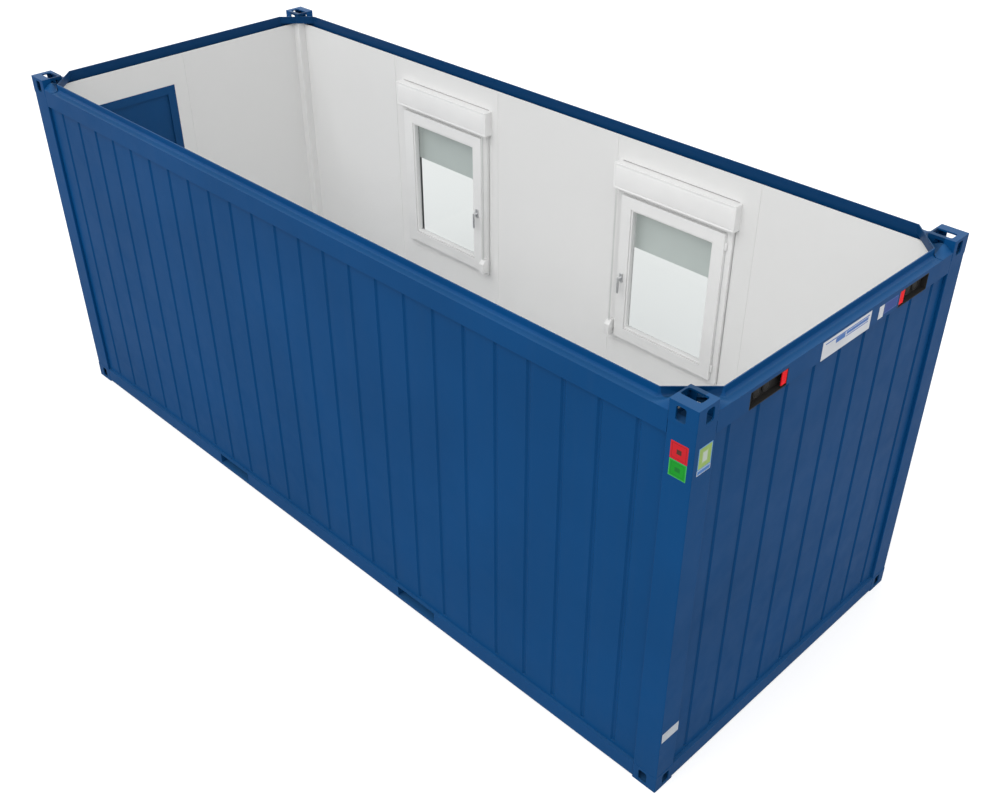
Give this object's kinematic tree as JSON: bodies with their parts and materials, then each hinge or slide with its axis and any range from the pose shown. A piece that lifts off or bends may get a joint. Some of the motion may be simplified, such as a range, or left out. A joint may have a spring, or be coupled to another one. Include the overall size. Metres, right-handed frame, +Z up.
{
  "type": "office container",
  "caption": "Steel-framed office container shown without its roof: profiled walls, white lining, windows with roller shutters, end door, hollow corner castings and fork pockets.",
  "frame": {"origin": "middle of the base, on the level that the bottom castings stand on", "axes": "+X along the container away from the door end, +Y across it towards the window wall, +Z up"},
  "size_m": [6.055, 2.435, 2.591],
  "materials": {
    "frame_paint": "satin blue paint on steel",
    "wall_paint": "satin blue paint on profiled sheet",
    "door_paint": "satin dark blue paint",
    "galvanised": "galvanised sheet",
    "chipboard": "raw board",
    "floor_vinyl": "matt grey sheet flooring",
    "lining": "matt white coated board",
    "hinge_steel": "painted steel",
    "handle_metal": "anodised",
    "window_plastic": "white, half gloss",
    "window_glass": "clear double pane",
    "guide_plastic": "grey",
    "curtain_plastic": "light grey slats",
    "sill_metal": "coated sheet",
    "inlet_black": "black"
  },
  "bodies": {
    "body": {"bottom_castings_left": "frame_paint", "bottom_castings_right": "frame_paint", "top_castings_left": "frame_paint", "top_castings_right": "frame_paint", "corner_posts": "frame_paint", "bottom_side_rails": "frame_paint", "bottom_end_rails": "frame_paint", "fork_pockets": "frame_paint", "top_rail_front": "frame_paint", "top_rail_back": "frame_paint", "top_rail_left": "frame_paint", "top_rail_right": "frame_paint", "gutter_corners": "frame_paint", "under_floor_sheet": "galvanised", "floor_cross_members": "galvanised", "floor_deck": "chipboard", "floor_covering": "floor_vinyl", "front_wall_panel": "wall_paint", "right_wall_panel": "wall_paint", "back_wall_panels": "wall_paint", "window_panels": "wall_paint", "left_wall_panel": "wall_paint", "left_wall_corner_strip": "wall_paint", "left_wall_header": "wall_paint", "lining_front": "lining", "lining_back": "lining", "lining_left": "lining", "lining_right": "lining", "corner_covers": "lining", "lining_joint_covers": "lining", "door_frame": "door_paint", "door_hinge_pins": "hinge_steel", "window_frames": "window_plastic", "window_sashes": "window_plastic", "window_panes": "window_glass", "shutter_boxes": "window_plastic", "shutter_guides": "guide_plastic", "shutter_curtains": "curtain_plastic", "window_handles": "handle_metal", "belt_winders": "window_plastic", "window_sills": "sill_metal", "power_inlets": "inlet_black"},
    "door": {"door_leaf": "door_paint", "door_hinge_knuckles": "hinge_steel", "door_handle": "handle_metal"}
  },
  "joints": [
    {"name": "door_hinge", "type": "hinge", "parent": "body", "child": "door", "pos_m": [-2.9905, -0.9865, 1], "axis": [0, 0, 1], "range_deg": [0, 105]}
  ]
}
